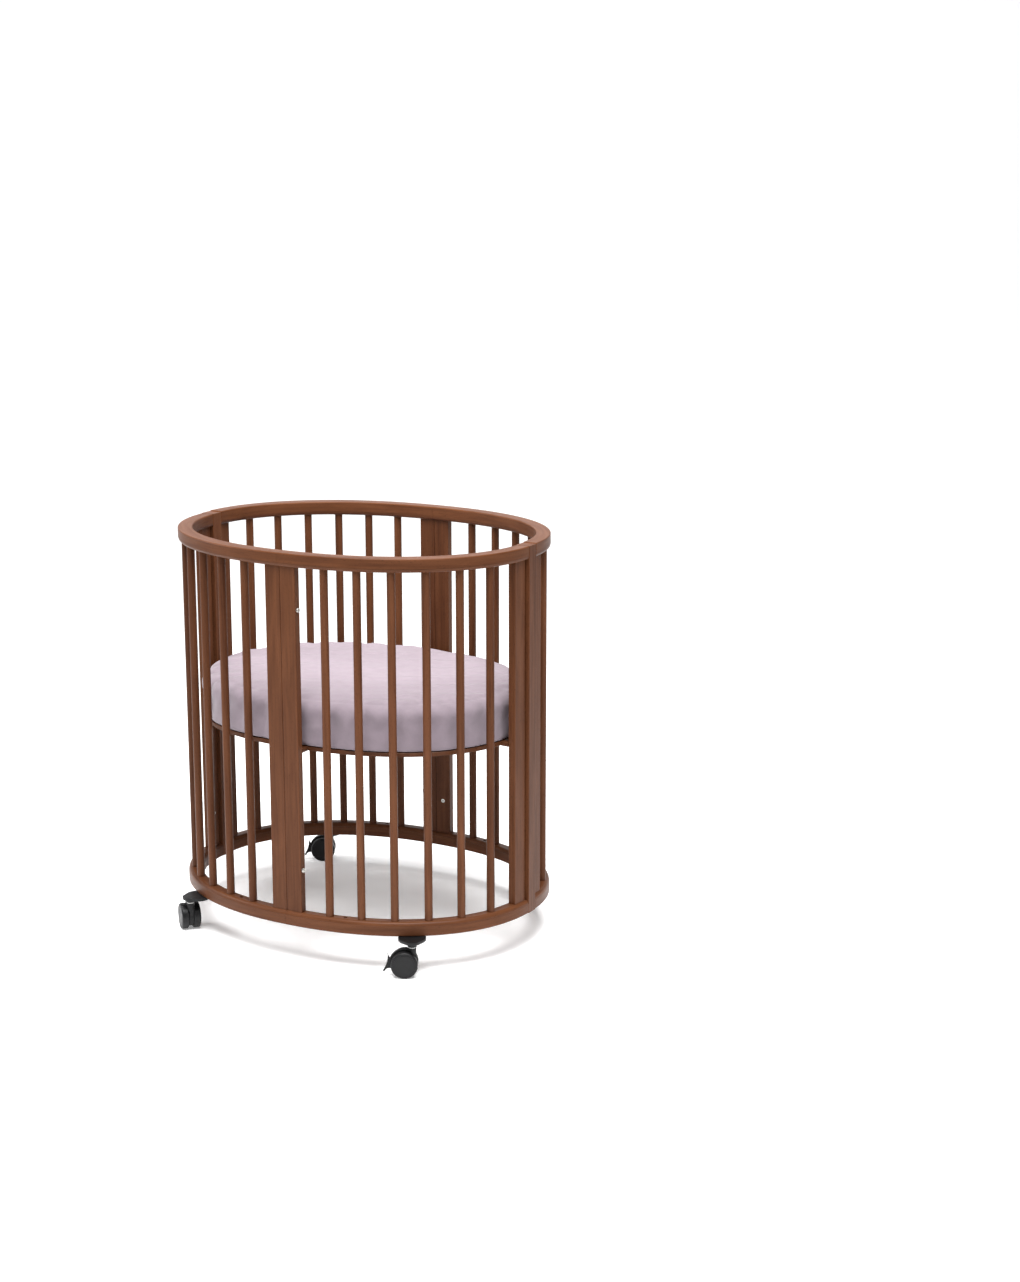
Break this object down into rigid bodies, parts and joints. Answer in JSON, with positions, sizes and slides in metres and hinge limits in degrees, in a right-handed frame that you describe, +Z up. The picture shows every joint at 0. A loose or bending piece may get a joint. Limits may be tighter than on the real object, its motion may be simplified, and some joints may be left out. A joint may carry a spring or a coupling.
{
  "type": "baby crib",
  "caption": "Oval wooden baby crib with round spindles on braked twin-wheel casters, with a lift-out mattress in a fitted sheet on a height-adjustable base.",
  "frame": {"origin": "on the floor under the centre of the oval", "axes": "+X along the oval's long axis, +Y along its short axis towards the back, +Z up"},
  "size_m": [0.8256, 0.643, 0.87],
  "materials": {
    "stained_wood": "walnut-brown stain on a close-grained hardwood, satin",
    "base_wood": "walnut-brown stain on plywood, satin",
    "foam": "foam in a plain undyed cover",
    "sheet": "pale mauve cotton, matte",
    "black_plastic": "black, fine matte",
    "wheel_plastic": "black, soft sheen on the tread",
    "washer": "pale grey, smooth",
    "insert_steel": "zinc plated, dull",
    "steel": "zinc plated, satin"
  },
  "bodies": {
    "frame": {"base_inserts": "insert_steel", "bottom_rail_front_left": "stained_wood", "bottom_rail_front_right": "stained_wood", "bottom_rail_rear_left": "stained_wood", "bottom_rail_rear_right": "stained_wood", "caster_plate_front_left": "black_plastic", "caster_plate_front_right": "black_plastic", "caster_plate_rear_left": "black_plastic", "caster_plate_rear_right": "black_plastic", "caster_screws": "steel", "caster_washers": "washer", "end_board_front_left": "stained_wood", "end_board_front_right": "stained_wood", "end_board_rear_left": "stained_wood", "end_board_rear_right": "stained_wood", "panel_bolts": "steel", "panel_inserts": "insert_steel", "post_left": "stained_wood", "post_right": "stained_wood", "seam_board_front_left": "stained_wood", "seam_board_front_right": "stained_wood", "seam_board_rear_left": "stained_wood", "seam_board_rear_right": "stained_wood", "spindles_front_left": "stained_wood", "spindles_front_right": "stained_wood", "spindles_rear_left": "stained_wood", "spindles_rear_right": "stained_wood", "top_rail_front_left": "stained_wood", "top_rail_front_right": "stained_wood", "top_rail_rear_left": "stained_wood", "top_rail_rear_right": "stained_wood"},
    "base": {"mattress_base": "base_wood", "base_studs": "steel", "base_nuts": "steel"},
    "mattress": {"mattress": "foam", "fitted_sheet": "sheet"},
    "swivel_front_right": {"caster_housing_front_right": "black_plastic", "caster_pins_front_right": "steel"},
    "wheel_front_right_a": {"caster_wheel_front_right_a": "wheel_plastic"},
    "wheel_front_right_b": {"caster_wheel_front_right_b": "wheel_plastic"},
    "lever_front_right": {"caster_lever_front_right": "black_plastic"},
    "swivel_front_left": {"caster_housing_front_left": "black_plastic", "caster_pins_front_left": "steel"},
    "wheel_front_left_a": {"caster_wheel_front_left_a": "wheel_plastic"},
    "wheel_front_left_b": {"caster_wheel_front_left_b": "wheel_plastic"},
    "lever_front_left": {"caster_lever_front_left": "black_plastic"},
    "swivel_rear_left": {"caster_housing_rear_left": "black_plastic", "caster_pins_rear_left": "steel"},
    "wheel_rear_left_a": {"caster_wheel_rear_left_a": "wheel_plastic"},
    "wheel_rear_left_b": {"caster_wheel_rear_left_b": "wheel_plastic"},
    "lever_rear_left": {"caster_lever_rear_left": "black_plastic"},
    "swivel_rear_right": {"caster_housing_rear_right": "black_plastic", "caster_pins_rear_right": "steel"},
    "wheel_rear_right_a": {"caster_wheel_rear_right_a": "wheel_plastic"},
    "wheel_rear_right_b": {"caster_wheel_rear_right_b": "wheel_plastic"},
    "lever_rear_right": {"caster_lever_rear_right": "black_plastic"}
  },
  "joints": [
    {"name": "base_height", "type": "slide", "parent": "frame", "child": "base", "axis": [0, 0, 1], "range_m": [-0.27, 0]},
    {"name": "mattress_lift", "type": "slide", "parent": "base", "child": "mattress", "axis": [0, 0, 1], "range_m": [0, 0.45]},
    {"name": "swivel_front_right", "type": "hinge", "parent": "frame", "child": "swivel_front_right", "pos_m": [0.28103, -0.27439, 0], "axis": [0, 0, 1], "continuous": true},
    {"name": "roll_front_right_a", "type": "hinge", "parent": "swivel_front_right", "child": "wheel_front_right_a", "pos_m": [0.26704, -0.28214, 0.028], "axis": [-0.4848, 0.8746, 0], "continuous": true},
    {"name": "roll_front_right_b", "type": "hinge", "parent": "swivel_front_right", "child": "wheel_front_right_b", "pos_m": [0.26704, -0.28214, 0.028], "axis": [-0.4848, 0.8746, 0], "continuous": true},
    {"name": "brake_front_right", "type": "hinge", "parent": "swivel_front_right", "child": "lever_front_right", "pos_m": [0.24692, -0.29329, 0.03], "axis": [0.4848, -0.8746, 0], "range_deg": [0, 15]},
    {"name": "swivel_front_left", "type": "hinge", "parent": "frame", "child": "swivel_front_left", "pos_m": [-0.28103, -0.27439, 0], "axis": [0, 0, 1], "continuous": true},
    {"name": "roll_front_left_a", "type": "hinge", "parent": "swivel_front_left", "child": "wheel_front_left_a", "pos_m": [-0.29292, -0.26368, 0.028], "axis": [0.6691, 0.7431, 0], "continuous": true},
    {"name": "roll_front_left_b", "type": "hinge", "parent": "swivel_front_left", "child": "wheel_front_left_b", "pos_m": [-0.29292, -0.26368, 0.028], "axis": [0.6691, 0.7431, 0], "continuous": true},
    {"name": "brake_front_left", "type": "hinge", "parent": "swivel_front_left", "child": "lever_front_left", "pos_m": [-0.31002, -0.24829, 0.03], "axis": [-0.6691, -0.7431, 0], "range_deg": [0, 15]},
    {"name": "swivel_rear_left", "type": "hinge", "parent": "frame", "child": "swivel_rear_left", "pos_m": [-0.28103, 0.27439, 0], "axis": [0, 0, 1], "continuous": true},
    {"name": "roll_rear_left_a", "type": "hinge", "parent": "swivel_rear_left", "child": "wheel_rear_left_a", "pos_m": [-0.29503, 0.26663, 0.028], "axis": [-0.4848, 0.8746, 0], "continuous": true},
    {"name": "roll_rear_left_b", "type": "hinge", "parent": "swivel_rear_left", "child": "wheel_rear_left_b", "pos_m": [-0.29503, 0.26663, 0.028], "axis": [-0.4848, 0.8746, 0], "continuous": true},
    {"name": "brake_rear_left", "type": "hinge", "parent": "swivel_rear_left", "child": "lever_rear_left", "pos_m": [-0.31514, 0.25548, 0.03], "axis": [0.4848, -0.8746, 0], "range_deg": [0, 15]},
    {"name": "swivel_rear_right", "type": "hinge", "parent": "frame", "child": "swivel_rear_right", "pos_m": [0.28103, 0.27439, 0], "axis": [0, 0, 1], "continuous": true},
    {"name": "roll_rear_right_a", "type": "hinge", "parent": "swivel_rear_right", "child": "wheel_rear_right_a", "pos_m": [0.26678, 0.28165, 0.028], "axis": [0.454, 0.891, 0], "continuous": true},
    {"name": "roll_rear_right_b", "type": "hinge", "parent": "swivel_rear_right", "child": "wheel_rear_right_b", "pos_m": [0.26678, 0.28165, 0.028], "axis": [0.454, 0.891, 0], "continuous": true},
    {"name": "brake_rear_right", "type": "hinge", "parent": "swivel_rear_right", "child": "lever_rear_right", "pos_m": [0.24628, 0.29209, 0.03], "axis": [-0.454, -0.891, 0], "range_deg": [0, 15]}
  ]
}
